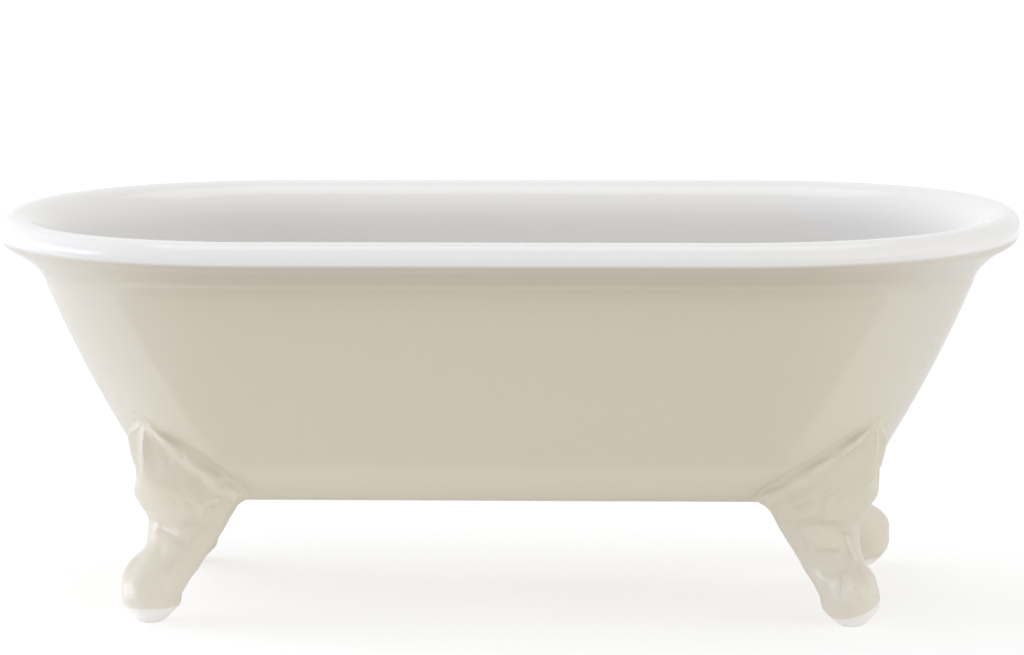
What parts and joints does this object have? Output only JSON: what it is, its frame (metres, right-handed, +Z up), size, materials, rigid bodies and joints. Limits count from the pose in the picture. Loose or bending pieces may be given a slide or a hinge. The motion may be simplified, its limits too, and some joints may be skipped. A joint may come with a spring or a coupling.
{
  "type": "soap dish",
  "caption": "Glazed ceramic soap dish shaped like a double-ended bath: an open basin with a wide rolled rim, standing on claw-and-ball feet.",
  "frame": {"origin": "on the table, under the middle of the basin", "axes": "+X along the bath, +Y from its front side to its rear side, +Z up"},
  "size_m": [0.17, 0.0772, 0.0645],
  "materials": {
    "white_glaze": "thick glossy white glaze on the bowl",
    "foot_glaze": "the same glossy glaze, pooled in the relief of the feet",
    "fired_slip": "matt fired luting clay"
  },
  "bodies": {
    "root": {"tub_body": "white_glaze", "foot_front_left": "foot_glaze", "foot_front_right": "foot_glaze", "foot_rear_left": "foot_glaze", "foot_rear_right": "foot_glaze", "slip_joint_front_left": "fired_slip", "slip_joint_front_right": "fired_slip", "slip_joint_rear_left": "fired_slip", "slip_joint_rear_right": "fired_slip"}
  },
  "joints": []
}
